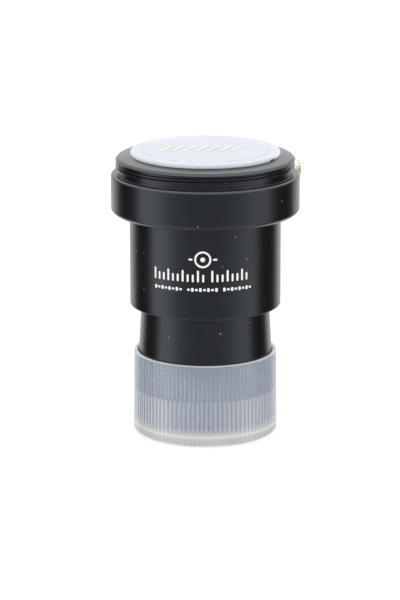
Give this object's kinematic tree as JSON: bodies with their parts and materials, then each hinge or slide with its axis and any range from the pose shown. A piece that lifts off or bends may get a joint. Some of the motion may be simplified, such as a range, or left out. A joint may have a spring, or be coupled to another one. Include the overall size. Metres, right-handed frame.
{
  "type": "barlow lens",
  "caption": "Short black barlow lens for slim-barrel eyepieces: stepped tube with a camera-thread collar, brass thumbscrew, plug cap on top and frosted cup over the nosepiece.",
  "frame": {"origin": "on the optical axis, at the flat underside of the lower cap, which the object stands on", "axes": "+Z along the optical axis from the nosepiece to the eyepiece mouth; +X to the right and -Y towards the printed front of the body, with the thumbscrew pointing 41 degrees from +X towards +Y"},
  "size_m": [0.0452, 0.0442, 0.068],
  "materials": {
    "black_anodised": "satin black anodised, fine lathe-turned grain",
    "black_matt": "dull black anodised",
    "brass": "plain turned brass",
    "brass_knurled": "bright brass, straight knurl",
    "coated_glass": "polished, green anti-reflection coating",
    "white_plastic": "soft white polythene, slightly waxy",
    "frosted_plastic": "frosted translucent polythene with fine upright ribs"
  },
  "bodies": {
    "barrel": {"nosepiece": "black_anodised", "body_tube": "black_anodised", "collar": "black_anodised", "compression_ring": "brass", "lens_cell": "black_anodised", "lens_retaining_ring": "black_matt", "lens_biconcave": "coated_glass", "lens_meniscus": "coated_glass"},
    "top_cap": {"top_cap": "white_plastic"},
    "lower_cap": {"lower_cap": "frosted_plastic"},
    "screw_shank": {"thumbscrew_shank": "brass"},
    "screw_head": {"thumbscrew_head": "brass_knurled"}
  },
  "joints": [
    {"name": "top_cap_pull", "type": "slide", "parent": "barrel", "child": "top_cap", "axis": [0, 0, 1], "range_m": [0, 0.04]},
    {"name": "barrel_lift", "type": "slide", "parent": "lower_cap", "child": "barrel", "axis": [0, 0, 1], "range_m": [0, 0.03]},
    {"name": "thumbscrew_travel", "type": "slide", "parent": "barrel", "child": "screw_shank", "axis": [0.7547, 0.6561, 0], "range_m": [0, 0.002]},
    {"name": "thumbscrew_turn", "type": "hinge", "parent": "screw_shank", "child": "screw_head", "pos_m": [0, 0, 0.0593], "axis": [0.7547, 0.6561, 0], "range_deg": [0, 1440]}
  ],
  "couplings": [
    {"joint": "thumbscrew_turn", "follows": "thumbscrew_travel", "rad_per_m": 12566}
  ]
}
